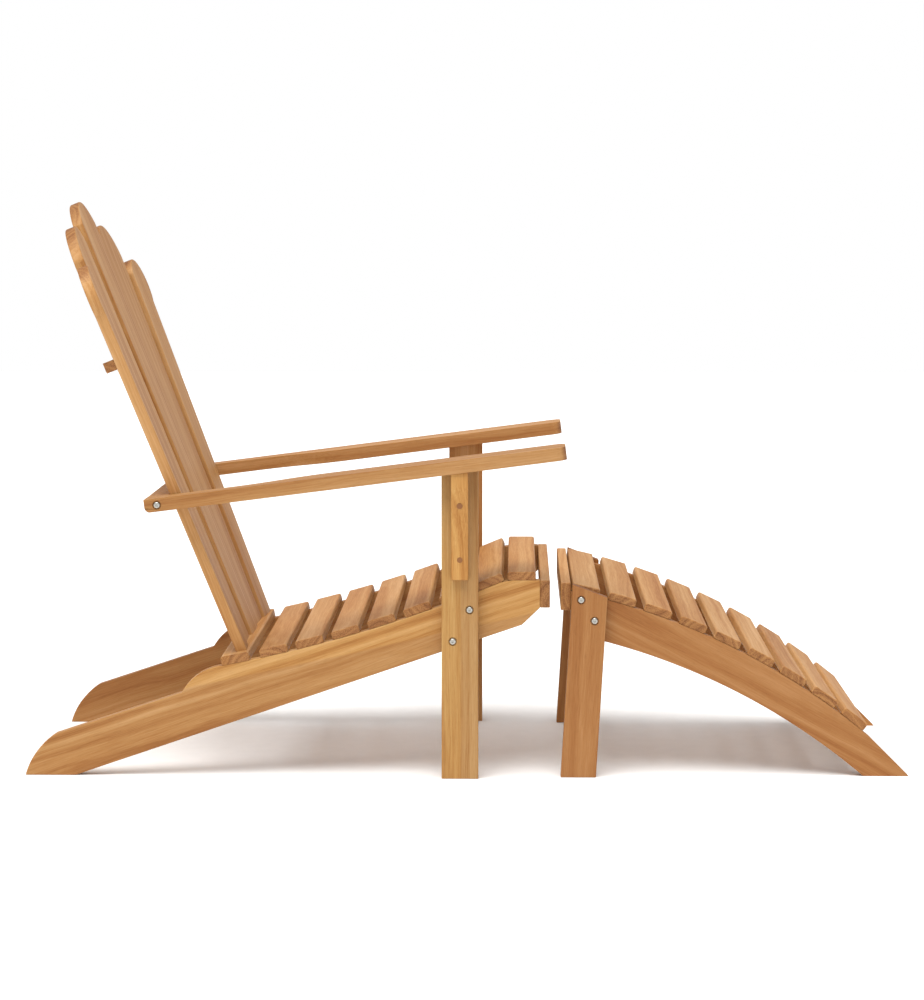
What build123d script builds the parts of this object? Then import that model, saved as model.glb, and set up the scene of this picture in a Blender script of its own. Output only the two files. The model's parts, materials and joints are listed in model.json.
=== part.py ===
from build123d import *
import math
import os

# Adirondack garden chair in solid teak with its separate footrest, in millimetres.
# +X is forward, +Y is the sitter's left, +Z is up, and both pieces stand on Z = 0.
# The chair is drawn with its rear toes at X = 0, then the whole set is moved so that the
# origin lies at the middle of its footprint.

# ---------------------------------------------------------------- driving dimensions
# Fits
hole_clearance = 0.15        # around every screw and bolt, on the radius
plug_clearance = 0.10        # around every wooden plug, on the radius
slat_clearance = 0.15        # air between the seat slats and the hollowed edge they lie on
housing_depth = 1.2          # how far each back slat is let into the battens behind it

# Boards
board = 22.0                 # thickness of rails, legs, arms and the arm crossbar
slat_thickness = 14.0        # seat and footrest slats
slat_width = 47.0
slat_edge_radius = 4.0       # rounding of the slats' long upper edges
seat_width = 540.0           # length of the seat slats, over the outer faces of the rails

# Side rails of the chair
foot_flat = 84.0             # length of the flat under the rear foot
nose_run = 52.0              # rear foot: how far the rounded nose reaches forward
nose_height = 70.0
nose_bulge = 8.2
step_x = 264.0               # where the rear edge steps up to the seat
step_z = 140.5
seat_back_x = 332.0          # rear end of the hollowed seat edge
seat_back_z = 186.0
seat_front_x = 797.0         # front end of the hollowed seat edge
seat_height = 331.0          # level front part of the rail's upper edge
seat_hollow = 13.2           # depth of the seat's hollow below its chord
seat_front_drop = 3.6        # the hollow ends this far below the level part
roll_run = 20.0              # length of the roll-over on to the level part
rail_front_x = 863.0
rail_slope = 0.342           # rise of the rail's lower edge per unit of run
rail_chamfer = 30.0          # cut-off lower front corner
rail_front_depth = 46.0      # height of the rail's front end

# Front legs of the chair
leg_x = 730.0                # middle of the leg
leg_width = 61.0
leg_bolt_up = (16.0, 284.0)      # upper bolt: distance forward of the leg's middle, height
leg_bolt_down = (-12.0, 231.0)   # lower bolt

# Arms
arm_height = 514.0           # underside of the arm at the middle of the leg
arm_slope = 7.3              # degrees, rising to the front
arm_front = 178.0            # reach of the arm in front of the leg's middle, along the arm
arm_rear = 521.0             # reach behind it
arm_overhang = 37.0          # outer edge beyond the leg's outer face
arm_width = 80.0
arm_tail_width = 44.0
arm_taper_start = 215.0      # behind the leg's middle
arm_taper_end = 385.0
arm_corner_radius = 18.0
arm_tail_radius = 9.0

# Brackets under the arms
bracket_thickness = 28.0
bracket_height = 179.0
bracket_reach = 33.0         # out from the leg, under the arm
bracket_toe = 13.0           # out from the leg, at the bottom
bracket_shoulder = 22.0      # straight part under the arm
bracket_screw_heights = (369.0, 460.0)

# Back
back_tilt = 21.75            # degrees from the vertical
back_foot_x = 364.0          # front face of the middle slat where it stands on its foot rail
back_slats = 5
back_thickness = 18.0
back_foot_widths = (105.0, 105.0, 74.0)       # middle, inner and outer slats, at the foot
back_top_widths = (152.0, 152.0, 92.0)        # the same at the gauge height
back_gaps = (6.0, 11.0)                       # between slats, at the foot and at the gauge height
back_gauge_height = 743.0    # measured up the back
back_cup = 1.9               # degrees that each slat turns inwards from its neighbour
alternate_set_back = 5.0     # every second slat stands this much further back
back_lengths = (808.0, 763.0, 685.0)          # middle, inner and outer slats, to their tops
back_shoulders = ((40.0, 40.0), (30.0, 62.0), (18.0, 80.0))   # drop at the inner and outer edges
foot_rail_gap = 19.0         # between the foot rail and the first seat slat
foot_rail_width = 47.0
foot_rail_thickness = 15.0
back_foot_depth = 5.0        # how deep the slats stand in the foot rail

# Battens behind the back
batten_up = 523.0            # middle of the upper batten, measured up the back
batten_height = 18.0
batten_thickness = 20.0
batten_inset = 2.0           # its ends stop short of the outer slats' edges
crossbar_depth = 36.0        # arm crossbar, front to rear

# Seat
seat_slats = 8
front_slat_gap = 6.0         # between the front slat and the last one on the hollow
front_slat_inset = 7.0       # front slat behind the front ends of the rails

# Aprons
apron_thickness = 16.5
apron_height = 46.0

# Footrest, drawn from the chair's rear toes as well
rest_gap = 18.0              # clear space between the two aprons
rest_width = 510.0           # length of the footrest slats, over the outer faces of its rails
rest_arc_run = 500.0         # length of the slatted arc, in plan
rest_rear_drop = 20.0        # slatted arc starts this far below the seat's level edge
rest_fall = 244.0            # fall of the arc from its first point to its last
rest_bulge = 34.2            # height of the arc above its chord
rest_rail_depth = 71.0       # vertical depth of the footrest's rails
rest_slats = 9
rest_slat_pitch = 62.6       # along the arc
rest_slat_clearance = 1.0    # between the apron and the first slat
rest_foot_flat = 76.0        # of the rail's toe on the ground
rest_nose_run = 67.0         # from the end of the arc to the toe, in plan
rest_apron_rise = 14.0       # apron's top above the rear ends of its rails
rest_leg_width = 59.0
rest_leg_lean = 3.4          # degrees
rest_leg_x = 30.0            # foot of the leg's middle forward of the footrest's rear end
rest_leg_rise = 3.0          # leg's sloping top above the rear ends of the rails, at its middle
rest_leg_top_slope = 21.0    # degrees
rest_bolt_up = (-14.0, 12.0)     # forward of the leg's middle, below the rails' rear ends
rest_bolt_down = (10.5, 47.0)

# Fasteners
screw_head = 8.0
screw_head_height = 3.0
screw_shank = 4.0
screw_length = 30.0
apron_screw_length = 25.0
plug_diameter = 9.0
plug_depth = 4.0
bolt_head = 10.5
bolt_head_height = 4.0
bolt_shank = 6.0
bolt_recess = 2.5            # the heads stand in a shallow recess
bolt_recess_diameter = 14.5
bolt_socket = 4.0            # across the flats
bolt_socket_depth = 2.5
nut_diameter = 12.0
nut_height = 5.0
barrel_diameter = 10.0
barrel_inset = 34.0          # middle of the barrel nut from the end of the crossbar
arm_bolt_length = 96.0
arm_bolt_inset = 21.0         # from the arm's rear end
back_screw_sink = 1.0        # heads below the batten's rear face

# ---------------------------------------------------------------- values that follow
rail_y = seat_width / 2                  # outer face of the chair's rails
leg_y = rail_y + board                   # outer face of the legs
outer_y = leg_y + arm_overhang           # outer edges of the arms
inner_y = outer_y - arm_width
tail_y = outer_y - arm_tail_width        # inner edges of the arms' rear ends
rest_rail_y = rest_width / 2
rest_rear_x = rail_front_x + apron_thickness + rest_gap
rest_arc_x = rest_rear_x + apron_thickness
rest_arc_z = seat_height - rest_rear_drop
rest_toe_x = rest_arc_x + rest_arc_run + rest_nose_run
set_length = rest_toe_x
to_centre = Pos(-set_length / 2, 0, 0)
tilt = math.radians(back_tilt)
slope = math.radians(arm_slope)

nodes = {}


def keep(name, shape):
    """Stores a finished piece under its node name."""
    nodes[name] = shape


def both_sides(name, shape):
    """Stores a piece drawn on the sitter's right, and its mirror image on the left."""
    keep(name + "_right", shape)
    keep(name + "_left", mirror(shape, Plane.XZ))


def group(name, solids):
    """Stores identical fasteners as one node of separate solids."""
    keep(name, Compound(children=list(solids)))


def rod(diameter, height):
    """A cylinder that stands on the local XY plane."""
    return Cylinder(diameter / 2, height, align=(Align.CENTER, Align.CENTER, Align.MIN))


def facing(x, y, z, direction):
    """A place at a point, with its local Z along the direction that the head faces."""
    helper = (1, 0, 0) if abs(direction[0]) < 0.9 else (0, 1, 0)
    return Location(Plane((x, y, z), x_dir=helper, z_dir=direction))


# ---------------------------------------------------------------- fasteners
def screw(length=screw_length):
    """Countersunk-style screw with its head's top face on the local XY plane."""
    head = Pos(0, 0, -screw_head_height) * rod(screw_head, screw_head_height)
    shank = Pos(0, 0, -length) * rod(screw_shank, length - screw_head_height)
    return head + shank


def screw_hole(length=screw_length):
    """Hole for a screw, with the counterbore that its head and its plug fill."""
    bore = plug_diameter + 2 * plug_clearance
    hole = screw_shank + 2 * hole_clearance
    counterbore = Pos(0, 0, -plug_depth - screw_head_height) * rod(bore, 60)
    pilot = Pos(0, 0, -plug_depth - length - hole_clearance) * rod(hole, length)
    return counterbore + pilot


def plug():
    """Wooden plug that covers a screw, flush with the surface."""
    return Pos(0, 0, -plug_depth) * rod(plug_diameter, plug_depth)


def bolt(grip):
    """Button-head bolt with a hexagon socket; its head bears on the local XY plane."""
    head = rod(bolt_head, bolt_head_height)
    crown = head.edges().group_by(Axis.Z)[-1]
    head = fillet(crown, bolt_head_height * 0.45)
    socket_points = RegularPolygon(bolt_socket / 2, 6, major_radius=False)
    socket = Pos(0, 0, bolt_head_height - bolt_socket_depth) * extrude(socket_points, bolt_head_height)
    return (head - socket) + Pos(0, 0, -grip) * rod(bolt_shank, grip)


def bolt_hole(depth):
    """Shallow recess for a bolt's head, and the hole for its shank."""
    recess = rod(bolt_recess_diameter, 60)
    shank = Pos(0, 0, -depth) * rod(bolt_shank + 2 * hole_clearance, depth)
    return recess + shank


def nut():
    """Round sleeve nut that bears on the local XY plane and rises along local Z."""
    body = rod(nut_diameter, nut_height)
    body = fillet(body.edges().group_by(Axis.Z)[-1], 1.5)
    return body - Pos(0, 0, -1) * rod(bolt_shank + 2 * hole_clearance, nut_height - 1)


def cut_all(shape, tool, places):
    """Takes the tool's shape out of a piece at every place."""
    for place in places:
        shape = shape - place * tool
    return shape


# ---------------------------------------------------------------- seat edge of the rails
def arc_through(start, end, bulge):
    """Centre and radius of the arc from start to end; bulge is its height above the chord."""
    run = end[0] - start[0]
    rise = end[1] - start[1]
    chord = math.hypot(run, rise)
    radius = (chord * chord / 4 + bulge * bulge) / (2 * abs(bulge))
    side = 1.0 if bulge > 0 else -1.0
    reach = (radius - abs(bulge)) * side
    middle = ((start[0] + end[0]) / 2, (start[1] + end[1]) / 2)
    return (middle[0] + rise / chord * reach, middle[1] - run / chord * reach), radius, side


def on_arc(arc, x):
    """Height of the arc at a distance X, and the angle of its slope in degrees."""
    (cx, cz), radius, side = arc
    dx = x - cx
    z = cz + side * math.sqrt(radius * radius - dx * dx)
    angle = math.degrees(math.atan2(-side * dx, math.sqrt(radius * radius - dx * dx)))
    return z, angle


def arc_middle(arc, x0, x1):
    """A point of the arc halfway between two distances, for a three-point arc."""
    x = (x0 + x1) / 2
    return x, on_arc(arc, x)[0]


def stand_on_arc(arc, x, width):
    """Place for a flat piece of this width that lies on the arc, starting at x."""
    z, angle = on_arc(arc, x)
    step = width * math.cos(math.radians(angle))
    for _ in range(6):
        far_z = on_arc(arc, x + step)[0]
        chord_angle = math.atan2(far_z - z, step)
        step = width * math.cos(chord_angle)
    radius, side = arc[1:]
    lift = slat_clearance
    if side > 0:
        lift = lift + radius - math.sqrt(radius * radius - width * width / 4)
    centre = Pos(x + step / 2, 0, (z + far_z) / 2)
    return centre * Rot(0, -math.degrees(chord_angle), 0) * Pos(0, 0, lift)


def outline_face(outline):
    """Flat face inside a closed outline of lines and arcs."""
    return make_face(Wire(outline).edges())


def prism(outline, height):
    """Straight prism that rises from the local XY plane."""
    return extrude(outline_face(outline), height, dir=(0, 0, 1))


seat_front_z = seat_height - seat_front_drop
seat_arc = arc_through((seat_back_x, seat_back_z), (seat_front_x, seat_front_z), -seat_hollow)
rest_arc = arc_through((rest_arc_x, rest_arc_z),
                       (rest_arc_x + rest_arc_run, rest_arc_z - rest_fall), rest_bulge)

# Places of the slats' undersides, front slat last
foot_rail_place = stand_on_arc(seat_arc, seat_back_x, foot_rail_width)
first_slat_x = (foot_rail_place * Pos(foot_rail_width / 2 + foot_rail_gap, 0, 0)).position.X
front_slat_x = rail_front_x - front_slat_inset - slat_width
last_slat_run = slat_width * math.cos(math.radians(on_arc(seat_arc, front_slat_x - slat_width / 2)[1]))
slat_step = (front_slat_x - front_slat_gap - last_slat_run - first_slat_x) / (seat_slats - 2)
seat_places = [stand_on_arc(seat_arc, first_slat_x + slat_step * number, slat_width)
               for number in range(seat_slats - 1)]
seat_places.append(Pos(front_slat_x + slat_width / 2, 0, seat_height))

rest_places = []
rest_slat_x = rest_arc_x + rest_slat_clearance
for number in range(rest_slats):
    rest_places.append(stand_on_arc(rest_arc, rest_slat_x, slat_width))
    middle_angle = on_arc(rest_arc, rest_slat_x + rest_slat_pitch / 2)[1]
    rest_slat_x = rest_slat_x + rest_slat_pitch * math.cos(math.radians(middle_angle))


# ---------------------------------------------------------------- slats and foot rail
def slat(length, thickness, width):
    """Flat slat lying on the local XY plane, with rounded long upper edges."""
    body = Box(width, length, thickness, align=(Align.CENTER, Align.CENTER, Align.MIN))
    upper = body.edges().filter_by(Axis.Y).group_by(Axis.Z)[-1]
    return fillet(upper, slat_edge_radius)


def slat_screw_places(places, thickness, y):
    """Places of the screws' plug faces on the slats' upper faces, both sides."""
    result = []
    for place in places:
        for side in (-1, 1):
            result.append(place * Pos(0, side * y, thickness))
    return result


seat_screws = slat_screw_places(seat_places, slat_thickness, rail_y - board / 2)
foot_screws = slat_screw_places([foot_rail_place], foot_rail_thickness, rail_y - board / 2)
rest_screws = slat_screw_places(rest_places, slat_thickness, rest_rail_y - board / 2)

for number, place in enumerate(seat_places, start=1):
    piece = place * slat(seat_width, slat_thickness, slat_width)
    keep("seat_slat_%d" % number, cut_all(piece, screw_hole(), seat_screws[2 * number - 2:2 * number]))
for number, place in enumerate(rest_places, start=1):
    piece = place * slat(rest_width, slat_thickness, slat_width)
    keep("footrest_slat_%d" % number,
         cut_all(piece, screw_hole(), rest_screws[2 * number - 2:2 * number]))

foot_rail = foot_rail_place * slat(seat_width, foot_rail_thickness, foot_rail_width)
foot_rail = cut_all(foot_rail, screw_hole(), foot_screws)

# ---------------------------------------------------------------- back
foot_rail_top = foot_rail_place * Pos(0, 0, foot_rail_thickness)
foot_rail_line = Plane(foot_rail_top)
back_foot_z = foot_rail_line.origin.Z + (back_foot_x - foot_rail_line.origin.X) * (
    foot_rail_line.x_dir.Z / foot_rail_line.x_dir.X)
# Frame of the back: origin at its foot, local X to the left, local Y up the back, Z forward
back_frame = Location(Plane((back_foot_x, 0, back_foot_z), x_dir=(0, 1, 0),
                            z_dir=(math.cos(tilt), 0, math.sin(tilt))))
middle_slat = back_slats // 2


def at_height(values, up):
    """A size of the fan at a height up the back, from its values at the foot and gauge height."""
    return values[0] + (values[1] - values[0]) * up / back_gauge_height


def slat_edges(steps, up):
    """Distances across of the inner and outer edges of the slat this many steps from the middle."""
    outer = at_height((back_foot_widths[0], back_top_widths[0]), up) / 2
    inner = -outer
    for step in range(1, steps + 1):
        inner = outer + at_height(back_gaps, up)
        outer = inner + at_height((back_foot_widths[step], back_top_widths[step]), up)
    return inner, outer


def fold(step):
    """Distance across of the line where a slat's plane meets its inner neighbour's."""
    if step == 0:
        return 0.0
    return (slat_edges(step - 1, batten_up / 2)[1] + slat_edges(step, batten_up / 2)[0]) / 2


def rise_at(across):
    """How far the cupped front face of the back has come forward at a distance across."""
    rise = 0.0
    for step in range(1, middle_slat + 1):
        reach = across - fold(step)
        if reach > 0:
            rise = rise + reach * (math.tan(math.radians(back_cup * step))
                                   - math.tan(math.radians(back_cup * (step - 1))))
    return rise


def slat_frame(index):
    """Frame of one slat's front face; index counts to the left from the middle slat."""
    steps = abs(index)
    side = -1 if index < 0 else 1
    set_back = alternate_set_back * (steps % 2)
    return back_frame * Pos(side * fold(steps), 0, rise_at(fold(steps)) - set_back) * Rot(
        0, -side * back_cup * steps, 0)


def back_slat(index):
    """Tapered slat with an arched top."""
    steps = abs(index)
    side = -1 if index < 0 else 1
    length = back_lengths[steps]
    inner_drop, outer_drop = back_shoulders[steps]
    below = -3 * back_foot_depth

    def corner(share, up):
        """A point of the outline; share runs from 0 at the inner edge to 1 at the outer."""
        inner, outer = slat_edges(steps, up)
        return side * (inner + (outer - inner) * share - fold(steps)), up

    inner_top = corner(0, length - inner_drop)
    outer_top = corner(1, length - outer_drop)
    crest = corner(inner_drop / (inner_drop + outer_drop), length)
    outline = [
        Line(corner(0, below), inner_top),
        ThreePointArc(inner_top, crest, outer_top),
        Line(outer_top, corner(1, below)),
        Line(corner(1, below), corner(0, below)),
    ]
    plank = slat_frame(index) * Pos(0, 0, -back_thickness) * prism(outline, back_thickness)
    seat_of_slat = foot_rail_top * Pos(0, 0, -back_foot_depth)
    return plank - seat_of_slat * Box(900, 900, 200, align=(Align.CENTER, Align.CENTER, Align.MAX))


slat_numbers = range(-middle_slat, back_slats - middle_slat)
slat_bodies = [back_slat(index) for index in slat_numbers]

half = slat_edges(middle_slat, batten_up)[1] - batten_inset
bow = rise_at(half)
front_w = -back_thickness + housing_depth
rear_w = front_w - batten_thickness
batten_outline = [
    ThreePointArc((-half, front_w + bow), (0, front_w), (half, front_w + bow)),
    Line((half, front_w + bow), (half, rear_w + bow)),
    ThreePointArc((half, rear_w + bow), (0, rear_w), (-half, rear_w + bow)),
    Line((-half, rear_w + bow), (-half, front_w + bow)),
]
batten_frame = back_frame * Pos(0, batten_up + batten_height / 2, 0) * Rot(90, 0, 0)
top_batten = batten_frame * prism(batten_outline, batten_height)

# Arm frame: origin on the arm's underside over the middle of the leg, local X along the arm
arm_frame = Pos(leg_x, 0, arm_height) * Rot(0, -arm_slope, 0)
crossbar_front = crossbar_depth - arm_rear
crossbar_bow = rise_at(tail_y)
crossbar_outline = [
    Line((-arm_rear, -tail_y), (-arm_rear, tail_y)),
    Line((-arm_rear, tail_y), (crossbar_front + crossbar_bow, tail_y)),
    ThreePointArc((crossbar_front + crossbar_bow, tail_y), (crossbar_front, 0),
                  (crossbar_front + crossbar_bow, -tail_y)),
    Line((crossbar_front + crossbar_bow, -tail_y), (-arm_rear, -tail_y)),
]
crossbar = arm_frame * prism(crossbar_outline, board)

for body in slat_bodies:
    top_batten = top_batten - body
    crossbar = crossbar - body
    foot_rail = foot_rail - body

# Screws through the upper batten into each slat, heads at the rear
back_screws = []
for index in slat_numbers:
    inner, outer = slat_edges(abs(index), batten_up)
    across = math.copysign((inner + outer) / 2 - fold(abs(index)), index)
    set_back = alternate_set_back * (abs(index) % 2)
    reach = back_thickness - housing_depth + batten_thickness - back_screw_sink - set_back
    back_screws.append(slat_frame(index) * Pos(across, batten_up, -reach) * Rot(180, 0, 0))

# ---------------------------------------------------------------- side rails
nose_arc = arc_through((0, 0), (nose_run, nose_height), nose_bulge)
step_middle = (step_x + (seat_back_x - step_x) * 0.31, step_z + (seat_back_z - step_z) * 0.56)
chamfer_x = rail_front_x - rail_chamfer
front_low_z = seat_height - rail_front_depth
seat_middle = arc_middle(seat_arc, seat_back_x, seat_front_x)
level_x = seat_front_x + roll_run
rail_outline = [
    ThreePointArc((0, 0), arc_middle(nose_arc, nose_run * 0.36, nose_run * 0.38),
                  (nose_run, nose_height)),
    Line((nose_run, nose_height), (step_x, step_z)),
    ThreePointArc((step_x, step_z), step_middle, (seat_back_x, seat_back_z)),
    ThreePointArc((seat_back_x, seat_back_z), seat_middle, (seat_front_x, seat_front_z)),
    Line((seat_front_x, seat_front_z), (level_x, seat_height)),
    Line((level_x, seat_height), (rail_front_x, seat_height)),
    Line((rail_front_x, seat_height), (rail_front_x, front_low_z)),
    Line((rail_front_x, front_low_z), (chamfer_x, (chamfer_x - foot_flat) * rail_slope)),
    Line((chamfer_x, (chamfer_x - foot_flat) * rail_slope), (foot_flat, 0)),
    Line((foot_flat, 0), (0, 0)),
]


def upright(outline, y_outer):
    """Board cut to an outline drawn in X and Z, its outer face on the sitter's right."""
    return Pos(0, -y_outer + board, 0) * Rot(90, 0, 0) * prism(outline, board)


def right_side(places):
    """Only the places on the sitter's right."""
    return [place for place in places if place.position.Y < 0]


out_right = (0, -1, 0)
leg_bolts = [facing(leg_x + up[0], -leg_y + bolt_recess, up[1], out_right)
             for up in (leg_bolt_up, leg_bolt_down)]
grip = 2 * board - bolt_recess
apron_screws = [facing(rail_front_x + apron_thickness, -rail_y + board / 2, seat_height - drop,
                       (1, 0, 0)) for drop in (apron_height * 0.28, apron_height * 0.72)]

rail = upright(rail_outline, rail_y)
rail = cut_all(rail, screw_hole(), right_side(seat_screws) + right_side(foot_screws))
rail = cut_all(rail, screw_hole(apron_screw_length), apron_screws)
rail = cut_all(rail, bolt_hole(grip + 1), leg_bolts)
both_sides("side_rail", rail)

# ---------------------------------------------------------------- front legs
leg_top = arm_height + (leg_width / 2 + 1) * math.tan(slope)
leg = Pos(leg_x, -rail_y - board / 2, 0) * Box(
    leg_width, board, leg_top, align=(Align.CENTER, Align.CENTER, Align.MIN))
above_arm = arm_frame * Box(900, 900, 400, align=(Align.CENTER, Align.CENTER, Align.MIN))
leg = leg - above_arm

# ---------------------------------------------------------------- arm brackets
bracket_low = arm_height - bracket_height
shoulder_z = arm_height - bracket_shoulder
bracket_bend = (leg_y + bracket_toe + (bracket_reach - bracket_toe) * 0.33,
                bracket_low + (shoulder_z - bracket_low) * 0.55)
bracket_outline = [
    Line((leg_y, bracket_low), (leg_y + bracket_toe, bracket_low)),
    ThreePointArc((leg_y + bracket_toe, bracket_low), bracket_bend,
                  (leg_y + bracket_reach, shoulder_z)),
    Line((leg_y + bracket_reach, shoulder_z), (leg_y + bracket_reach, leg_top)),
    Line((leg_y + bracket_reach, leg_top), (leg_y, leg_top)),
    Line((leg_y, leg_top), (leg_y, bracket_low)),
]
# Drawn as distance out from the middle of the chair and height
bracket_frame = Location(Plane((leg_x + bracket_thickness / 2, 0, 0), x_dir=(0, -1, 0),
                               z_dir=(-1, 0, 0)))
bracket_blank = bracket_frame * prism(bracket_outline, bracket_thickness) - above_arm
bracket_screws = []
for height in bracket_screw_heights:
    probe = Pos(leg_x, -leg_y - bracket_reach / 2, height) * Box(2, 2 * bracket_reach, 0.2)
    face_y = (bracket_blank & probe).bounding_box().min.Y
    bracket_screws.append(facing(leg_x, face_y, height, out_right))
bracket_plugs = [(place * Pos(0, 0, -plug_depth) * rod(plug_diameter, 2 * plug_depth)) & bracket_blank
                 for place in bracket_screws]

# ---------------------------------------------------------------- arms
middle_taper = (-(arm_taper_start + arm_taper_end) / 2, -(inner_y + tail_y) / 2)
taper_in = (-arm_taper_start, -inner_y)
taper_out = (-arm_taper_end, -tail_y)
taper_first = TangentArc(taper_in, middle_taper, tangent=(-1, 0))
taper_second = TangentArc(taper_out, middle_taper, tangent=(1, 0))
arm_outline = [
    Line((arm_front, -outer_y), (arm_front, -inner_y)),
    Line((arm_front, -inner_y), taper_in),
    taper_first,
    taper_second,
    Line(taper_out, (-arm_rear, -tail_y)),
    Line((-arm_rear, -tail_y), (-arm_rear, -outer_y)),
    Line((-arm_rear, -outer_y), (arm_front, -outer_y)),
]
arm = prism(arm_outline, board)
arm = fillet(arm.edges().filter_by(Axis.Z).group_by(Axis.X)[-1], arm_corner_radius)
rear_edges = arm.edges().filter_by(Axis.Y).group_by(Axis.X)[0]
arm = fillet(rear_edges.sort_by(Axis.Z)[0], arm_tail_radius)
arm = arm_frame * arm

arm_screws = []
for ahead, out in ((-18, leg_y - board / 2), (18, leg_y - board / 2), (0, leg_y + 16)):
    arm_screws.append(arm_frame * Pos(ahead, -out, board))
arm_screws_left = [arm_frame * Pos(ahead, out, board)
                   for ahead, out in ((-18, leg_y - board / 2), (18, leg_y - board / 2),
                                      (0, leg_y + 16))]

# Long bolts through the tails of the arms into barrel nuts in the crossbar
arm_bolt_x = -arm_rear + arm_bolt_inset
arm_bolt_place = arm_frame * Pos(arm_bolt_x, -outer_y + bolt_recess, board / 2) * Rot(90, 0, 0)
barrel_place = arm_frame * Pos(arm_bolt_x, -tail_y + barrel_inset, 0)
barrel_hole = rod(barrel_diameter + 2 * hole_clearance, board - 4)
barrel = Pos(0, 0, 0) * rod(barrel_diameter, board - 4)
arm = arm - arm_bolt_place * bolt_hole(arm_bolt_length + 1)
crossbar = crossbar - arm_bolt_place * bolt_hole(arm_bolt_length + 1) - barrel_place * barrel_hole
barrel_right = barrel_place * barrel - arm_bolt_place * bolt_hole(arm_bolt_length + 1)
arm_bolt_right = arm_bolt_place * bolt(arm_bolt_length)
mirror_hole = mirror(arm_bolt_place * bolt_hole(arm_bolt_length + 1), Plane.XZ)
crossbar = crossbar - mirror_hole - mirror(barrel_place * barrel_hole, Plane.XZ)

leg = cut_all(leg, bolt_hole(grip + 1), leg_bolts)
leg = cut_all(leg, screw_hole(), bracket_screws + arm_screws[:2])
bracket = cut_all(bracket_blank, screw_hole(), bracket_screws + arm_screws[2:])
arm = cut_all(arm, screw_hole(), arm_screws)
both_sides("front_leg", leg)
both_sides("arm_bracket", bracket)
both_sides("arm", arm)

# ---------------------------------------------------------------- battens and back slats
batten_hole = Pos(0, 0, -screw_length) * rod(screw_shank + 2 * hole_clearance, screw_length + 20)
batten_head = Pos(0, 0, -screw_head_height) * rod(screw_head + 2 * hole_clearance, 40)
for number, body in enumerate(slat_bodies, start=1):
    keep("back_slat_%d" % number, cut_all(body, batten_hole, [back_screws[number - 1]]))
top_batten = cut_all(top_batten, batten_hole + batten_head, back_screws)
keep("back_top_batten", top_batten)
keep("arm_crossbar", crossbar)
keep("back_foot_rail", foot_rail)

# ---------------------------------------------------------------- apron
apron = Pos(rail_front_x + apron_thickness / 2, 0, seat_height) * Box(
    apron_thickness, seat_width, apron_height, align=(Align.CENTER, Align.CENTER, Align.MAX))
apron_both = apron_screws + [facing(p.position.X, -p.position.Y, p.position.Z, (1, 0, 0))
                             for p in apron_screws]
keep("front_apron", cut_all(apron, screw_hole(apron_screw_length), apron_both))

# ---------------------------------------------------------------- footrest
rest_end_x = rest_arc_x + rest_arc_run
rest_end_z = rest_arc_z - rest_fall
rest_mid = arc_middle(rest_arc, rest_arc_x, rest_end_x)
rest_low_mid = (rest_mid[0], rest_mid[1] - rest_rail_depth)
rest_heel_x = rest_toe_x - rest_foot_flat
rest_outline = [
    ThreePointArc((rest_arc_x, rest_arc_z), rest_mid, (rest_end_x, rest_end_z)),
    Line((rest_end_x, rest_end_z), (rest_toe_x, 0)),
    Line((rest_toe_x, 0), (rest_heel_x, 0)),
    ThreePointArc((rest_heel_x, 0), rest_low_mid, (rest_arc_x, rest_arc_z - rest_rail_depth)),
    Line((rest_arc_x, rest_arc_z - rest_rail_depth), (rest_arc_x, rest_arc_z)),
]
rest_rail = upright(rest_outline, rest_rail_y)

rest_lean = math.radians(rest_leg_lean)
rest_foot_x = rest_rear_x + rest_leg_x
rest_leg = Box(rest_leg_width, board, 900, align=(Align.CENTER, Align.CENTER, Align.CENTER))
rest_leg = Pos(rest_foot_x, -rest_rail_y - board / 2, 0) * Rot(0, rest_leg_lean, 0) * rest_leg
rest_leg = rest_leg - Box(4000, 2000, 900, align=(Align.CENTER, Align.CENTER, Align.MAX))
rest_leg_top = rest_arc_z + rest_leg_rise
leg_cap = Pos(rest_foot_x + rest_leg_top * math.tan(rest_lean), 0, rest_leg_top) * Rot(
    0, rest_leg_top_slope, 0)
rest_leg = rest_leg - leg_cap * Box(900, 900, 400, align=(Align.CENTER, Align.CENTER, Align.MIN))

rest_bolts = []
for ahead, drop in (rest_bolt_up, rest_bolt_down):
    height = rest_arc_z - drop
    x = rest_foot_x + height * math.tan(rest_lean) + ahead
    rest_bolts.append(facing(x, -rest_rail_y - board + bolt_recess, height, out_right))
rest_apron_z = rest_arc_z + rest_apron_rise
rest_apron_screws = [facing(rest_rear_x, -rest_rail_y + board / 2, rest_apron_z - drop, (-1, 0, 0))
                     for drop in (apron_height * 0.45, apron_height * 0.80)]
rest_rail = cut_all(rest_rail, screw_hole(), right_side(rest_screws))
rest_rail = cut_all(rest_rail, screw_hole(apron_screw_length), rest_apron_screws)
rest_rail = cut_all(rest_rail, bolt_hole(grip + 1), rest_bolts)
rest_leg = cut_all(rest_leg, bolt_hole(grip + 1), rest_bolts)
both_sides("footrest_rail", rest_rail)
both_sides("footrest_leg", rest_leg)

rest_apron = Pos(rest_rear_x + apron_thickness / 2, 0, rest_apron_z) * Box(
    apron_thickness, rest_width, apron_height, align=(Align.CENTER, Align.CENTER, Align.MAX))
rest_apron_both = rest_apron_screws + [
    facing(p.position.X, -p.position.Y, p.position.Z, (-1, 0, 0)) for p in rest_apron_screws]
keep("footrest_apron", cut_all(rest_apron, screw_hole(apron_screw_length), rest_apron_both))


# ---------------------------------------------------------------- fastener groups
def with_mirror(solids):
    """Solids on the sitter's right, and their mirror images."""
    return list(solids) + [mirror(solid, Plane.XZ) for solid in solids]


def screws_at(places, length=screw_length):
    """Screws under their plugs at every place."""
    return [place * Pos(0, 0, -plug_depth) * screw(length) for place in places]


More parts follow.
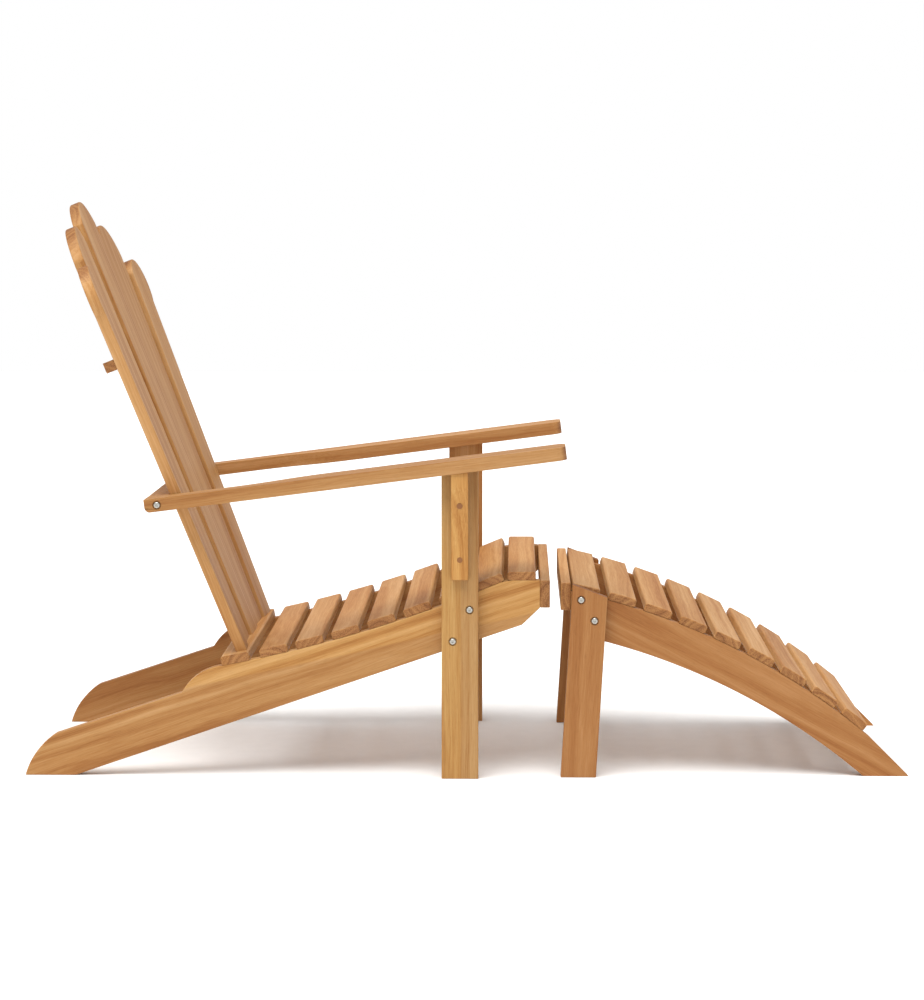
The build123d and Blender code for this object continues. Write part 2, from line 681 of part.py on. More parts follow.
def plugs_at(places):
    """Plugs at every place."""
    return [place * plug() for place in places]


inside = Pos(0, 0, -grip) * Rot(180, 0, 0)
group("leg_bolts", with_mirror([place * bolt(grip + 3) for place in leg_bolts]))
group("leg_nuts", with_mirror([place * inside * nut() for place in leg_bolts]))
group("footrest_bolts", with_mirror([place * bolt(grip + 3) for place in rest_bolts]))
group("footrest_nuts", with_mirror([place * inside * nut() for place in rest_bolts]))
group("arm_bolts", with_mirror([arm_bolt_right]))
group("arm_barrel_nuts", with_mirror([barrel_right]))
group("seat_slat_screws", screws_at(seat_screws + foot_screws))
group("seat_slat_plugs", plugs_at(seat_screws + foot_screws))
group("footrest_slat_screws", screws_at(rest_screws))
group("footrest_slat_plugs", plugs_at(rest_screws))
group("back_screws", [place * screw() for place in back_screws])
group("apron_screws", screws_at(apron_both, apron_screw_length))
group("apron_plugs", plugs_at(apron_both))
group("footrest_apron_screws", screws_at(rest_apron_both, apron_screw_length))
group("footrest_apron_plugs", plugs_at(rest_apron_both))
group("arm_screws", screws_at(arm_screws + arm_screws_left))
group("arm_plugs", plugs_at(arm_screws + arm_screws_left))
group("bracket_screws", with_mirror(screws_at(bracket_screws)))
group("bracket_plugs", with_mirror(bracket_plugs))

# ---------------------------------------------------------------- writing
os.makedirs("parts", exist_ok=True)
for name, shape in nodes.items():
    export_step(to_centre * shape, "parts/" + name + ".step")
print(len(nodes), "nodes, set length", round(set_length, 1))
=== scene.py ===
"""A slatted teak armchair with a long sloping back and its own footrest, in a pale studio."""
import json
import math
import random

import bmesh
import bpy
import numpy as np
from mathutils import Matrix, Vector
from mathutils.bvhtree import BVHTree
from mathutils.kdtree import KDTree

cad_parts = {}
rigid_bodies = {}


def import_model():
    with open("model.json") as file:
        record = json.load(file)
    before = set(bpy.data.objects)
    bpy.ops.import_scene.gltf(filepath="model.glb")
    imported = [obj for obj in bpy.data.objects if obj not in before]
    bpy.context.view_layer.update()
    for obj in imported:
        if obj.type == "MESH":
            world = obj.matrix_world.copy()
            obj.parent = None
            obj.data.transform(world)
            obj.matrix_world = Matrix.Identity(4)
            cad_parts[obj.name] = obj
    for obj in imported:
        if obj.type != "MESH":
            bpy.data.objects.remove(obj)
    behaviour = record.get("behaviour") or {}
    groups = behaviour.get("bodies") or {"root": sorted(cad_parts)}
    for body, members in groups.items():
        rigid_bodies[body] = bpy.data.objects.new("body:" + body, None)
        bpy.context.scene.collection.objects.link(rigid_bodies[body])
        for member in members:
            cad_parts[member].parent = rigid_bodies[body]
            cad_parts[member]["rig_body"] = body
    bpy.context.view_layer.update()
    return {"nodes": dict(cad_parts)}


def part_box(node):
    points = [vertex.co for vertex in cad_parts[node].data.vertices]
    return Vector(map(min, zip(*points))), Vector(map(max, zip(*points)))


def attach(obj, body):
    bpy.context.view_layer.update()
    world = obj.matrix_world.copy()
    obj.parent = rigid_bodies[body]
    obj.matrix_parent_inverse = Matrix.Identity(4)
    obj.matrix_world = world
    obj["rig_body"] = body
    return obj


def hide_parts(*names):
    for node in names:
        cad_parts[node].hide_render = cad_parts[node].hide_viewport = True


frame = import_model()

cad = frame["nodes"]

# Boards, in metres
arris_radius = 0.0016            # hand-eased edges of the boards
slat_arris_radius = 0.0024       # slats are rounded more, for bare legs
batten_arris_radius = 0.0006
arris_steps = 3
merge_distance = 0.00001
flat_angle = math.radians(0.6)   # facets closer than this are one flat face
arris_angle = math.radians(28)   # edges sharper than this are eased
crisp_angle = math.radians(50)   # edges still sharper than this stay crisp
joint_clearance = 0.004          # edges this near a fixing keep their sharp rim
surface_reach = 0.0002           # a face this near the board's exact surface lies on it
agreement = 0.3                  # least cosine between a face and the surface under it
rounding_shares = (1.0, 0.85, 0.7, 0.55, 0.4, 0.25)
sound_area = 0.000015            # total of badly turned faces that may pass, in square metres

# Wood
grain_seed = 11
log_length = 5                   # boards come from anywhere along a log 10 m long
log_reach = 0.06                 # how far a board's middle may lie from the log's heart
heart_gap = 0.02
lightness_range = (0.93, 1.05)
warmth_range = (-0.02, 0.025)
red_warmth = 0.3                 # share of the warmth that red takes
end_cut_start = 0.55             # cosine to the grain where a face starts to show end grain
end_cut_run = 0.3
leg_seam_share = 0.52            # sapwood behind this share of the near leg's depth
foot_rail_seam_share = 0.35
rail_seam_start = (0.31112, 0.44109)  # line on the near rail, as shares of its length and height
rail_seam_end = (0.79316, 0.71903)

# Plugs
plug_sides = 28
plug_proud = 0.00012             # plugs swell a hair above the sanded face
bracket_plug_tones = (0.0, 0.15)     # dark plugs stand out on the brackets
matched_plug_tones = (0.45, 0.75)    # the others match their boards

# Studio
floor_reach = 12.0
key_strength = 3.7
key_softness = math.radians(50)
key_way = (0.12, 0.33, -0.93)
horizon_band = (0.16, 0.42)      # sine of the height where the white walls start and end fading
ceiling_strength = 0.55
camera_place = (0.0829, -5.160, 0.9454)
camera_way = (-0.01838, 0.99504, -0.09775)
lens_length = 106.65             # millimetres
sensor_width = 36.0


# ---------------------------------------------------------------- helpers

def linear(code):
    """Linear colour of an sRGB hex code."""
    shares = [int(code[place:place + 2], 16) / 255 for place in (1, 3, 5)]
    return [s / 12.92 if s <= 0.04045 else ((s + 0.055) / 1.055) ** 2.4 for s in shares] + [1.0]


def add(tree, kind, settings=None, **inputs):
    """Adds a node with its settings, then sets or links its inputs."""
    node = tree.nodes.new(kind)
    for name, value in (settings or {}).items():
        setattr(node, name, value)
    for name, value in inputs.items():
        key = int(name[1:]) if name[0] == "_" and name[1:].isdigit() else name.replace("_", " ")
        if isinstance(value, bpy.types.Node):
            value = value.outputs[0]
        if isinstance(value, bpy.types.NodeSocket):
            tree.links.new(value, node.inputs[key])
        else:
            node.inputs[key].default_value = value
    return node


def colour_stops(ramp, stops):
    """Sets a colour ramp's stops from (place, hex code) pairs."""
    elements = ramp.color_ramp.elements
    while len(elements) < len(stops):
        elements.new(0.5)
    for element, (place, code) in zip(elements, stops):
        element.position = place
        element.color = linear(code)


def set_attribute(mesh, name, kind, domain, values):
    """Stores one value for each point or face of a mesh."""
    attribute = mesh.attributes.new(name, kind, domain)
    field = {"FLOAT": "value", "FLOAT_VECTOR": "vector", "FLOAT_COLOR": "color"}[kind]
    flat = np.array(values, dtype=np.float32).ravel()
    attribute.data.foreach_set(field, flat)


def new_material(name):
    """An empty material and its tree."""
    material = bpy.data.materials.new(name)
    material.use_nodes = True
    material.node_tree.nodes.clear()
    return material, material.node_tree


# ---------------------------------------------------------------- materials

def teak_boards():
    """Teak, planed and fine-sanded, left bare: honey brown with darker growth lines, a dull silky sheen."""
    material, tree = new_material("teak_fine_sanded")
    grain = add(tree, "ShaderNodeAttribute", {"attribute_name": "grain"}).outputs["Vector"]
    end = add(tree, "ShaderNodeAttribute", {"attribute_name": "end_grain"}).outputs["Fac"]
    # painted shade and light come in with each board's tone: far-side boards darker, near bracket lighter
    tone = add(tree, "ShaderNodeAttribute", {"attribute_name": "tone_and_painted_light"}).outputs["Color"]
    seam = add(tree, "ShaderNodeAttribute", {"attribute_name": "seam"}).outputs["Fac"]

    # the tree's own wander: one bend in about 300 mm along, 60 mm across
    wander_place = add(tree, "ShaderNodeVectorMath", {"operation": "MULTIPLY"}, _0=grain, _1=(3.2, 16, 16))
    wander = add(tree, "ShaderNodeTexNoise", None, Vector=wander_place, Scale=1.0, Detail=2.0)
    wander_low = add(tree, "ShaderNodeVectorMath", {"operation": "SUBTRACT"},
                     _0=wander.outputs["Color"], _1=(0.5, 0.5, 0.5))
    wander_by = add(tree, "ShaderNodeVectorMath", {"operation": "SCALE"}, _0=wander_low, Scale=0.016)
    bent = add(tree, "ShaderNodeVectorMath", {"operation": "ADD"}, _0=grain, _1=wander_by)

    # growth rings about 8 mm apart round the log's heart
    across = add(tree, "ShaderNodeVectorMath", {"operation": "MULTIPLY"}, _0=bent, _1=(0.012, 1, 1))
    ring_place = add(tree, "ShaderNodeVectorMath", {"operation": "LENGTH"}, _0=across)
    rings = add(tree, "ShaderNodeTexNoise", {"noise_dimensions": "1D"},
                W=ring_place.outputs["Value"], Scale=125.0, Detail=3.0, Roughness=0.55)
    # broad bands of lighter and darker wood, 30 to 50 mm across
    band_place = add(tree, "ShaderNodeVectorMath", {"operation": "MULTIPLY"}, _0=bent, _1=(1.1, 27, 27))
    bands = add(tree, "ShaderNodeTexNoise", None, Vector=band_place, Scale=1.0, Detail=2.0, Roughness=0.5)
    # fibres, drawn about 1.5 mm across and 60 mm long so that they show
    fibre_place = add(tree, "ShaderNodeVectorMath", {"operation": "MULTIPLY"}, _0=bent, _1=(16, 640, 640))
    fibres = add(tree, "ShaderNodeTexNoise", None, Vector=fibre_place, Scale=1.0, Detail=3.0, Roughness=0.6)
    # open pores, drawn about 0.6 mm across and 12 mm long
    pore_place = add(tree, "ShaderNodeVectorMath", {"operation": "MULTIPLY"}, _0=grain, _1=(80, 1700, 1700))
    pores = add(tree, "ShaderNodeTexNoise", None, Vector=pore_place, Scale=1.0, Detail=1.0)

    ring_share = add(tree, "ShaderNodeMath", {"operation": "MULTIPLY"}, _0=rings, _1=0.32)
    band_share = add(tree, "ShaderNodeMath", {"operation": "MULTIPLY_ADD"}, _0=bands, _1=0.42, _2=ring_share)
    figure = add(tree, "ShaderNodeMath", {"operation": "MULTIPLY_ADD"}, _0=fibres, _1=0.26, _2=band_share)
    side_colour = add(tree, "ShaderNodeValToRGB", None, Fac=figure)
    colour_stops(side_colour, ((0.37, "#945F2E"), (0.46, "#A6733F"), (0.53, "#B0804B"), (0.64, "#BE915F")))

    # cut ends: rings and open pores, browner than the faces
    speckle_place = add(tree, "ShaderNodeVectorMath", {"operation": "MULTIPLY"}, _0=grain, _1=(300, 900, 900))
    speckle = add(tree, "ShaderNodeTexNoise", None, Vector=speckle_place, Scale=1.0, Detail=2.0)
    end_mix = add(tree, "ShaderNodeMath", {"operation": "MULTIPLY"}, _0=speckle, _1=0.55)
    end_figure = add(tree, "ShaderNodeMath", {"operation": "MULTIPLY_ADD"}, _0=rings, _1=0.45, _2=end_mix)
    end_colour = add(tree, "ShaderNodeValToRGB", None, Fac=end_figure)
    colour_stops(end_colour, ((0.38, "#6A3F1E"), (0.48, "#8A5A31"), (0.60, "#A47443")))
    wood = add(tree, "ShaderNodeMix", {"data_type": "RGBA"}, Factor=end)
    tree.links.new(side_colour.outputs["Color"], wood.inputs[6])
    tree.links.new(end_colour.outputs["Color"], wood.inputs[7])

    # pores darken the face a little
    pore_mask = add(tree, "ShaderNodeMapRange", None, Value=pores, From_Min=0.58, From_Max=0.7,
                    To_Min=1.0, To_Max=0.86)
    pore_tint = add(tree, "ShaderNodeVectorMath", {"operation": "SCALE"}, _0=wood.outputs[2], Scale=pore_mask)
    # each board's tone: a random lightness and warmth, with painted shade on the far-side boards and painted
    # light on the near bracket
    toned = add(tree, "ShaderNodeVectorMath", {"operation": "MULTIPLY"}, _0=pore_tint, _1=tone)
    # heartwood on one side of a seam, paler sapwood on the other
    seam_noise = add(tree, "ShaderNodeMath", {"operation": "MULTIPLY_ADD"}, _0=bands, _1=0.012, _2=seam)
    seam_mask = add(tree, "ShaderNodeMapRange", None, Value=seam_noise, From_Min=0.0045, From_Max=0.0075,
                    To_Min=0.0, To_Max=1.0)
    sapwood = add(tree, "ShaderNodeVectorMath", {"operation": "MULTIPLY"}, _0=toned, _1=(1.14, 1.15, 1.02))
    colour = add(tree, "ShaderNodeMix", {"data_type": "VECTOR"}, Factor=seam_mask)
    tree.links.new(sapwood.outputs[0], colour.inputs[4])
    tree.links.new(toned.outputs[0], colour.inputs[5])

    roughness = add(tree, "ShaderNodeMapRange", None, Value=figure, From_Min=0.3, From_Max=0.65,
                    To_Min=0.66, To_Max=0.52)
    height = add(tree, "ShaderNodeMath", {"operation": "MULTIPLY_ADD"}, _0=pore_mask, _1=0.5, _2=fibres)
    bump = add(tree, "ShaderNodeBump", None, Strength=0.22, Distance=0.0003, Height=height)
    shader = add(tree, "ShaderNodeBsdfPrincipled", None, Base_Color=colour.outputs[1],
                 Roughness=roughness, Normal=bump, IOR=1.48, Specular_IOR_Level=0.28)
    add(tree, "ShaderNodeOutputMaterial", None, Surface=shader)
    return material


def teak_plugs():
    """Teak dowel plugs, cut across the grain and sanded off: small brown discs with a speckled end."""
    material, tree = new_material("teak_plug_end_grain")
    place = add(tree, "ShaderNodeTexCoord").outputs["Object"]
    tone = add(tree, "ShaderNodeAttribute", {"attribute_name": "plug_tone"}).outputs["Fac"]
    # pores about 0.8 mm apart
    speckle = add(tree, "ShaderNodeTexNoise", None, Vector=place, Scale=1250.0, Detail=2.0)
    figure = add(tree, "ShaderNodeMath", {"operation": "MULTIPLY_ADD"}, _0=speckle, _1=0.4, _2=tone)
    colour = add(tree, "ShaderNodeValToRGB", None, Fac=figure)
    colour_stops(colour, ((0.1, "#75461E"), (0.45, "#935F2F"), (0.75, "#AE7E48"), (1.0, "#BE905B")))
    roughness = add(tree, "ShaderNodeMapRange", None, Value=speckle, To_Min=0.65, To_Max=0.5)
    bump = add(tree, "ShaderNodeBump", None, Strength=0.2, Distance=0.0003, Height=speckle)
    shader = add(tree, "ShaderNodeBsdfPrincipled", None, Base_Color=colour, Roughness=roughness,
                 Normal=bump, IOR=1.48)
    add(tree, "ShaderNodeOutputMaterial", None, Surface=shader)
    return material


def turned_steel():
    """Stainless steel, cold-headed and tumbled: bright grey with fine tool marks."""
    material, tree = new_material("stainless_steel_turned")
    place = add(tree, "ShaderNodeTexCoord").outputs["Object"]
    # tumbling marks about 0.7 mm apart
    marks = add(tree, "ShaderNodeTexNoise", None, Vector=place, Scale=1400.0, Detail=2.0)
    colour = add(tree, "ShaderNodeValToRGB", None, Fac=marks)
    colour_stops(colour, ((0.3, "#9C9A94"), (0.7, "#C4C2BB")))
    roughness = add(tree, "ShaderNodeMapRange", None, Value=marks, To_Min=0.28, To_Max=0.46)
    bump = add(tree, "ShaderNodeBump", None, Strength=0.12, Distance=0.0001, Height=marks)
    shader = add(tree, "ShaderNodeBsdfPrincipled", None, Base_Color=colour, Roughness=roughness,
                 Normal=bump, Metallic=1.0)
    add(tree, "ShaderNodeOutputMaterial", None, Surface=shader)
    return material


def painted_floor():
    """Matt white studio paint, rolled on: almost even, no gloss."""
    material, tree = new_material("studio_paint_rolled")
    place = add(tree, "ShaderNodeTexCoord").outputs["Object"]
    # roller marks about 30 mm apart
    marks = add(tree, "ShaderNodeTexNoise", None, Vector=place, Scale=33.0, Detail=1.0)
    colour = add(tree, "ShaderNodeValToRGB", None, Fac=marks)
    colour_stops(colour, ((0.0, "#F2F2F1"), (1.0, "#F8F8F7")))
    shader = add(tree, "ShaderNodeBsdfPrincipled", None, Base_Color=colour, Roughness=0.9,
                 Specular_IOR_Level=0.1)
    add(tree, "ShaderNodeOutputMaterial", None, Surface=shader)
    return material


teak = teak_boards()
plug_wood = teak_plugs()
steel = turned_steel()
paint = painted_floor()

# ---------------------------------------------------------------- boards

fixings = [name for name in cad if name.endswith(("_bolts", "_nuts", "_screws", "_plugs"))]
metal = [name for name in fixings if not name.endswith("_plugs")]
plugs = [name for name in fixings if name.endswith("_plugs")]
boards = sorted(name for name in cad if name not in fixings)

fixing_points = [v.co.copy() for name in fixings for v in cad[name].data.vertices]
near_fixings = KDTree(len(fixing_points))
for number, point in enumerate(fixing_points):
    near_fixings.insert(point, number)
near_fixings.balance()

# brackets and legs have upright grain whatever their outline
upright = ("arm_bracket_left", "arm_bracket_right", "front_leg_left", "front_leg_right")

# sawn to a bow from straight-grained boards that slope down to the toes
bowed = ("footrest_rail_left", "footrest_rail_right")

# red, green and blue shares of the common teak for single boards: the far-side boards are made darker as
# painted shade, the near bracket lighter as painted light, and the others are shifted as listed
tones_and_painted_light = {
    "side_rail_right": (0.94, 0.95, 0.96),
    "front_leg_right": (0.82, 0.9, 0.98),
    # painted light: the near bracket is made much lighter, as lit where it stands out from the leg
    "arm_bracket_right": (1.24, 1.32, 1.18),
    # painted shade: the far side rail, far arm, far footrest leg and far footrest rail are made darker
    "side_rail_left": (0.8, 0.74, 0.7),
    "arm_left": (0.88, 0.84, 0.8),
    "arm_right": (0.86, 0.84, 0.82),
    "footrest_leg_right": (0.8, 0.71, 0.66),
    "footrest_leg_left": (0.8, 0.68, 0.58),
    "footrest_rail_right": (0.79, 0.68, 0.6),
    "footrest_rail_left": (0.84, 0.72, 0.62),
}


def clean_copy(name):
    """A CAD node's mesh with its triangles joined up into flat faces."""
    work = bmesh.new()
    work.from_mesh(cad[name].data)
    bmesh.ops.remove_doubles(work, verts=work.verts, dist=merge_distance)
    bmesh.ops.dissolve_limit(work, angle_limit=flat_angle, verts=work.verts, edges=work.edges)
    return work


def long_axis(work, name):
    """Direction of the board's grain, and the two directions square to it."""
    if name in upright:
        return Vector((0, 0, 1)), Vector((1, 0, 0)), Vector((0, 1, 0))
    if name in bowed:
        low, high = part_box(name)
        along = Vector((high.x - low.x, 0, low.z - high.z)).normalized()
        return along, along.cross(Vector((0, 1, 0))), Vector((0, 1, 0))
    spread = np.zeros((3, 3))
    for edge in work.edges:
        run = np.array(edge.verts[1].co - edge.verts[0].co)
        spread += np.outer(run, run) * np.linalg.norm(run)
    directions = np.linalg.eigh(spread)[1]
    along, across, depth = (Vector(directions[:, column]) for column in (2, 1, 0))
    return along, across, depth


def ease_edges(work, radius):
    """Rounds the board's outer edges, apart from the rims of its holes."""
    edges = []
    for edge in work.edges:
        if len(edge.link_faces) != 2 or not edge.is_convex or edge.calc_face_angle(0) < arris_angle:
            continue
        ends = [near_fixings.find(v.co)[2] for v in edge.verts]
        middle = near_fixings.find((edge.verts[0].co + edge.verts[1].co) / 2)[2]
        if min(ends + [middle]) > joint_clearance:
            edges.append(edge)
    bmesh.ops.bevel(work, geom=edges, offset=radius, offset_type="OFFSET", segments=arris_steps,
                    profile=0.5, affect="EDGES", clamp_overlap=False, loop_slide=True)
    for edge in work.edges:
        edge.smooth = edge.calc_face_angle(0) < crisp_angle
    for face in work.faces:
        face.smooth = True


def inward_faces(work, surface):
    """Faces that lie on the board's own surface but point into the wood."""
    inward = []
    for face in work.faces:
        _, outward, _, distance = surface.find_nearest(face.calc_center_median())
        if distance < surface_reach and face.normal.dot(outward) < agreement:
            inward.append(face)
    return inward


def eased_copy(name, radius):
    """A board with the fullest rounding that leaves its faces sound."""
    exact = bmesh.new()
    exact.from_mesh(cad[name].data)
    surface = BVHTree.FromBMesh(exact)
    exact.free()
    best, least = None, math.inf
    for share in rounding_shares:
        work = clean_copy(name)
        ease_edges(work, radius * share)
        bmesh.ops.triangulate(work, faces=work.faces, quad_method="BEAUTY", ngon_method="BEAUTY")
        work.normal_update()
        wrong = sum(face.calc_area() for face in inward_faces(work, surface))
        if wrong < least:
            if best:
                best.free()
            best, least = work, wrong
        else:
            work.free()
        if least < sound_area:
            break
    bmesh.ops.reverse_faces(best, faces=inward_faces(best, surface))
    best.normal_update()
    return best


def seam_line(name, point, low, high):
    """Distance from the line between sapwood and heartwood, in metres; above zero is heartwood."""
    size = high - low
    if name == "front_leg_right":
        return point.x - (low.x + size.x * leg_seam_share)
    if name == "side_rail_right":
        start, end = (Vector((low.x + size.x * along, 0, low.z + size.z * up))
                      for along, up in (rail_seam_start, rail_seam_end))
        run = (end - start).normalized()
        return (point.x - start.x) * run.z - (point.z - start.z) * run.x
    if name == "back_foot_rail":
        return point.x - (low.x + size.x * foot_rail_seam_share)
    return 1.0


def board(name, chance):
    """The finished board that stands for a CAD node."""
    radius = slat_arris_radius if "slat" in name else arris_radius
    if "batten" in name:
        radius = batten_arris_radius
    work = clean_copy(name)
    along, across, depth = long_axis(work, name)
    work.free()
    work = eased_copy(name, radius)
    low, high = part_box(name)
    middle = (low + high) / 2
    heart = Vector((chance.uniform(-log_length, log_length), chance.uniform(-log_reach, log_reach),
                    chance.uniform(heart_gap, log_reach) * chance.choice((-1, 1))))
    lightness = chance.uniform(*lightness_range)
    warmth = chance.uniform(*warmth_range)
    # listed shares carry painted shade for the far-side boards and painted light for the near bracket
    listed_shares = tones_and_painted_light.get(name, (1, 1, 1))
    tone = (lightness * (1 + warmth * red_warmth) * listed_shares[0], lightness * listed_shares[1],
            lightness * (1 - warmth) * listed_shares[2], 1.0)

    mesh = bpy.data.meshes.new(name)
    work.normal_update()
    end_shares = [min(1.0, max(0.0, (abs(face.normal.dot(along)) - end_cut_start) / end_cut_run))
                  for face in work.faces]
    work.to_mesh(mesh)
    work.free()
    places = [vertex.co - middle for vertex in mesh.vertices]
    set_attribute(mesh, "grain", "FLOAT_VECTOR", "POINT",
                  [(p.dot(along) + heart.x, p.dot(across) + heart.y, p.dot(depth) + heart.z) for p in places])
    set_attribute(mesh, "seam", "FLOAT", "POINT",
                  [seam_line(name, vertex.co, low, high) for vertex in mesh.vertices])
    set_attribute(mesh, "tone_and_painted_light", "FLOAT_COLOR", "POINT", [tone] * len(mesh.vertices))
    set_attribute(mesh, "end_grain", "FLOAT", "FACE", end_shares)
    mesh.materials.append(teak)
    piece = bpy.data.objects.new(name + "_wood", mesh)
    bpy.context.scene.collection.objects.link(piece)
    even = piece.modifiers.new("even faces", "WEIGHTED_NORMAL")
    even.keep_sharp = True
    return piece


def plain_mesh(piece):
    """Turns a piece's modifiers into its own mesh."""
    graph = bpy.context.evaluated_depsgraph_get()
    final = bpy.data.meshes.new_from_object(piece.evaluated_get(graph), depsgraph=graph)
    piece.modifiers.clear()
    piece.data = final


def hand_over(piece, body, *names):
    """Gives a finished piece to its body, in place of CAD nodes."""
    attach(piece, body)
    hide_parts(*names)


chance = random.Random(grain_seed)
for name in boards:
    piece = board(name, chance)
    plain_mesh(piece)
    hand_over(piece, cad[name]["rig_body"], name)

# ---------------------------------------------------------------- plugs

def islands(name):
    """Middle, axis, width and length of each plug of a CAD node."""
    work = bmesh.new()
    work.from_mesh(cad[name].data)
    bmesh.ops.remove_doubles(work, verts=work.verts, dist=merge_distance)
    left = set(work.verts)
    found = []
    while left:
        waiting = [left.pop()]
        members = []
        while waiting:
            vertex = waiting.pop()
            members.append(vertex)
            for edge in vertex.link_edges:
                other = edge.other_vert(vertex)
                if other in left:
                    left.remove(other)
                    waiting.append(other)
        points = np.array([v.co for v in members])
        middle = (points.min(0) + points.max(0)) / 2
        faces = {face for v in members for face in v.link_faces}
        spread = sum(np.outer(f.normal, f.normal) * f.calc_area() for f in faces)
        # round the barrel every direction weighs the same, so the odd one out is the axis
        weights, directions = np.linalg.eigh(spread)
        odd = 0 if abs(weights[0] - weights[1]) > abs(weights[2] - weights[1]) else 2
        axis = directions[:, odd]
        axis = axis * np.sign(axis.sum())    # one way along every plug, whatever the solver gives
        reach = (points - middle) @ axis
        rim = np.linalg.norm((points - middle) - np.outer(reach, axis), axis=1)
        found.append((middle, axis, 2 * rim.max(), reach.max() - reach.min()))
    work.free()
    # in order of place, so that each plug keeps its own turn and tone from one run to the next
    return sorted(found, key=lambda plug: tuple(plug[0]))


def plug_tree():
    """Turns points into wood plugs, each with its own turn and tone."""
    tree = bpy.data.node_groups.new("wood plugs", "GeometryNodeTree")
    for name, kind, way in (("Geometry", "Geometry", "INPUT"), ("Sides", "Int", "INPUT"),
                            ("Proud", "Float", "INPUT"), ("Darkest", "Float", "INPUT"),
                            ("Lightest", "Float", "INPUT"), ("Seed", "Int", "INPUT"),
                            ("Geometry", "Geometry", "OUTPUT")):
        tree.interface.new_socket(name, in_out=way, socket_type="NodeSocket" + kind)
    given = add(tree, "NodeGroupInput").outputs
    disc = add(tree, "GeometryNodeMeshCylinder", None, Vertices=given["Sides"], Radius=0.5, Depth=1.0)
    axis = add(tree, "GeometryNodeInputNamedAttribute", {"data_type": "FLOAT_VECTOR"}, Name="axis")
    size = add(tree, "GeometryNodeInputNamedAttribute", {"data_type": "FLOAT_VECTOR"}, Name="size")
    stand = add(tree, "FunctionNodeAlignRotationToVector", {"axis": "Z"}, Vector=axis)
    turn = add(tree, "FunctionNodeRandomValue", {"data_type": "FLOAT"}, Seed=given["Seed"])
    turn.inputs[2].default_value = 0.0
    turn.inputs[3].default_value = math.tau
    spin = add(tree, "FunctionNodeAxisAngleToRotation", None, Axis=(0, 0, 1), Angle=turn.outputs[1])
    turned = add(tree, "FunctionNodeRotateRotation", {"rotation_space": "LOCAL"}, _0=stand, _1=spin)
    swell = add(tree, "ShaderNodeCombineXYZ", None, Z=given["Proud"])
    full = add(tree, "ShaderNodeVectorMath", {"operation": "ADD"}, _0=size, _1=swell)
    plugs_here = add(tree, "GeometryNodeInstanceOnPoints", None, Points=given["Geometry"],
                     Instance=disc.outputs["Mesh"], Rotation=turned, Scale=full)
    tone = add(tree, "FunctionNodeRandomValue", {"data_type": "FLOAT"}, Seed=given["Seed"])
    tree.links.new(given["Darkest"], tone.inputs[2])
    tree.links.new(given["Lightest"], tone.inputs[3])
    toned = add(tree, "GeometryNodeStoreNamedAttribute", {"data_type": "FLOAT", "domain": "INSTANCE"},
                Geometry=plugs_here, Name="plug_tone", Value=tone.outputs[1])
    real = add(tree, "GeometryNodeRealizeInstances", None, Geometry=toned)
    dressed = add(tree, "GeometryNodeSetMaterial", None, Geometry=real, Material=plug_wood)
    add(tree, "NodeGroupOutput", None, Geometry=dressed)
    return tree


def plug_row(name, tree, tones, seed):
    """All the plugs of a CAD node as one mesh."""
    found = islands(name)
    mesh = bpy.data.meshes.new(name)
    mesh.from_pydata([tuple(middle) for middle, _, _, _ in found], [], [])
    set_attribute(mesh, "axis", "FLOAT_VECTOR", "POINT", [direction for _, direction, _, _ in found])
    set_attribute(mesh, "size", "FLOAT_VECTOR", "POINT",
                  [(width, width, length) for _, _, width, length in found])
    piece = bpy.data.objects.new(name + "_wood", mesh)
    bpy.context.scene.collection.objects.link(piece)
    maker = piece.modifiers.new("plugs", "NODES")
    maker.node_group = tree
    values = {"Sides": plug_sides, "Proud": plug_proud, "Darkest": tones[0], "Lightest": tones[1],
              "Seed": seed}
    for socket in tree.interface.items_tree:
        if socket.in_out == "INPUT" and socket.name in values:
            maker[socket.identifier] = values[socket.name]
    plain_mesh(piece)
    return piece


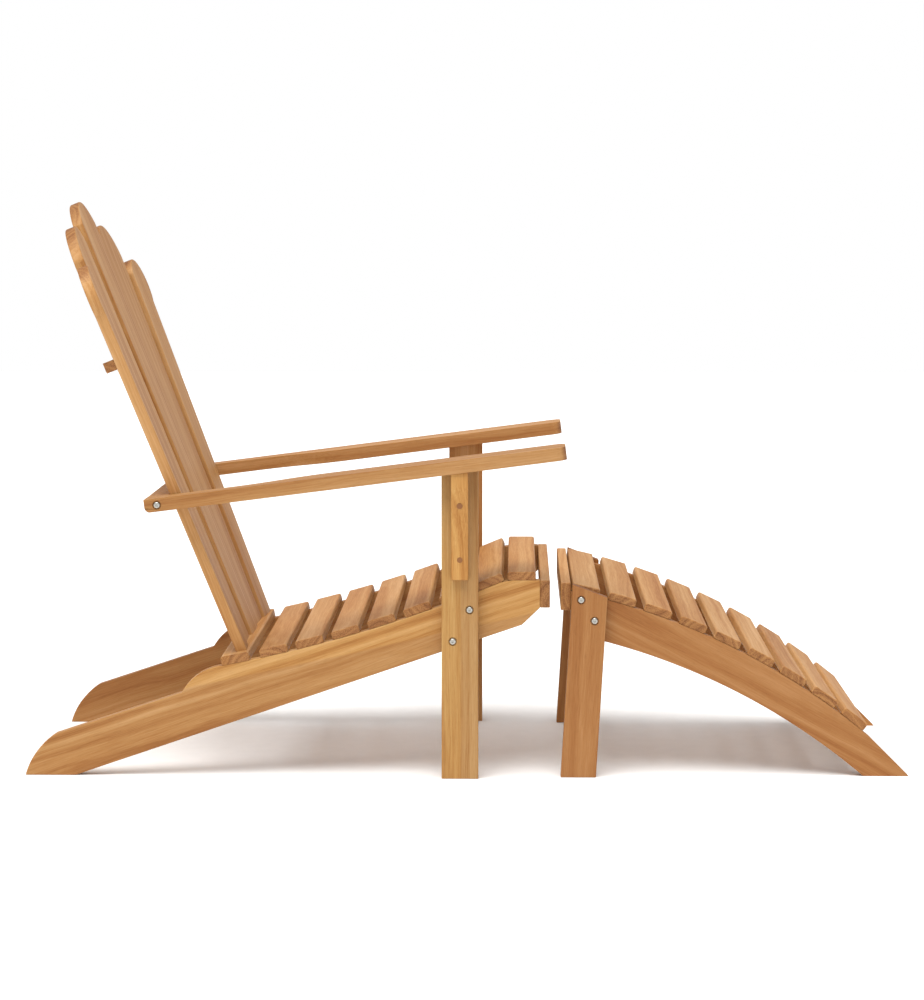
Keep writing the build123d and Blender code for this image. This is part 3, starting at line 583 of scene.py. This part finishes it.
tree = plug_tree()
for number, name in enumerate(sorted(plugs)):
    tones = bracket_plug_tones if name == "bracket_plugs" else matched_plug_tones
    hand_over(plug_row(name, tree, tones, number), cad[name]["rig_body"], name)

# ---------------------------------------------------------------- steel

for name in metal:
    for place in cad[name].material_slots:
        place.material = steel

# ---------------------------------------------------------------- studio

scene = bpy.context.scene

floor_mesh = bpy.data.meshes.new("floor")
floor_corners = [(-floor_reach, -floor_reach, 0), (floor_reach, -floor_reach, 0),
                 (floor_reach, floor_reach, 0), (-floor_reach, floor_reach, 0)]
floor_mesh.from_pydata(floor_corners, [], [(0, 1, 2, 3)])
floor_mesh.materials.append(paint)
floor = bpy.data.objects.new("floor", floor_mesh)
scene.collection.objects.link(floor)

# one very large soft box overhead, a little to the left and in front, drawn as a broad soft sun
key = bpy.data.lights.new("soft box", "SUN")
key.energy = key_strength
key.angle = key_softness
key_lamp = bpy.data.objects.new("soft box", key)
key_lamp.rotation_euler = Vector(key_way).to_track_quat("-Z", "Y").to_euler()
scene.collection.objects.link(key_lamp)

# walls are white near the horizon, and the room is dimmer above and below
world = bpy.data.worlds.new("pale studio")
world.use_nodes = True
studio = world.node_tree
studio.nodes.clear()
sight = add(studio, "ShaderNodeTexCoord").outputs["Generated"]
height_share = add(studio, "ShaderNodeSeparateXYZ", None, Vector=sight).outputs["Z"]
from_horizon = add(studio, "ShaderNodeMath", {"operation": "ABSOLUTE"}, _0=height_share)
glow = add(studio, "ShaderNodeMapRange", {"interpolation_type": "SMOOTHSTEP"}, Value=from_horizon,
           From_Min=horizon_band[0], From_Max=horizon_band[1], To_Min=1.0, To_Max=ceiling_strength)
walls = add(studio, "ShaderNodeBackground", None, Color=linear("#FFFFFF"), Strength=glow)
add(studio, "ShaderNodeOutputWorld", None, Surface=walls)
scene.world = world
scene.view_settings.view_transform = "Standard"

lens = bpy.data.cameras.new("camera")
lens.lens = lens_length
lens.sensor_width = sensor_width
camera = bpy.data.objects.new("camera", lens)
camera.location = camera_place
camera.rotation_euler = Vector(camera_way).to_track_quat("-Z", "Y").to_euler()
scene.collection.objects.link(camera)
scene.camera = camera
